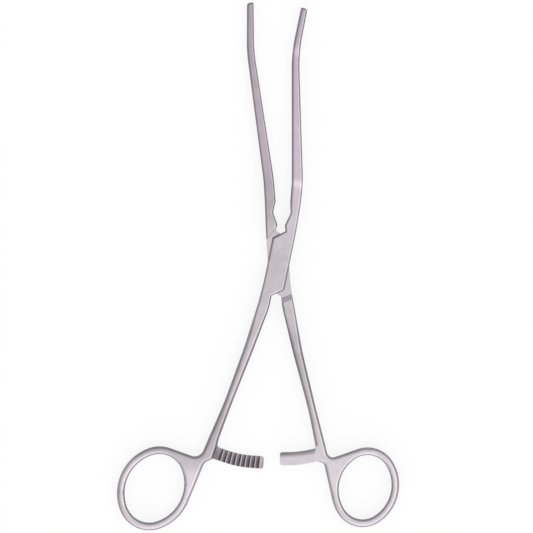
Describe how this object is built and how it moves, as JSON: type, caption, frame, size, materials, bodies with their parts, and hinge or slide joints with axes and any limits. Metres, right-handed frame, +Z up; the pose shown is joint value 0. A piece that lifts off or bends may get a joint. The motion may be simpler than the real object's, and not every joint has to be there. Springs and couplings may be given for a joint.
{
  "type": "ratcheted artery clamp",
  "caption": "Ring-handled vascular clamp with a box lock, long double-angled jaws, a ratchet between the shanks and two finger rings, lying flat and slightly open.",
  "frame": {"origin": "on the pivot axis, on the underside of the box lock, where the clamp rests when it lies flat", "axes": "+Z up out of the table along the pivot axis, +Y along the clamp towards the jaw tips, +X to the right seen from above with the jaws away from the viewer"},
  "size_m": [0.1073, 0.2005, 0.0054],
  "materials": {
    "box_arm_steel": "satin stainless steel with a fine lengthwise grain",
    "through_arm_steel": "satin stainless steel with a fine lengthwise grain",
    "pin_steel": "satin stainless steel, ground flush with the box"
  },
  "bodies": {
    "box_arm_body": {"box_arm": "box_arm_steel", "joint_pin": "pin_steel"},
    "through_arm_body": {"through_arm": "through_arm_steel"}
  },
  "joints": [
    {"name": "lock_pivot", "type": "hinge", "parent": "box_arm_body", "child": "through_arm_body", "pos_m": [0, 0, 0.0027], "axis": [0, 0, 1], "range_deg": [-10, 30]}
  ]
}
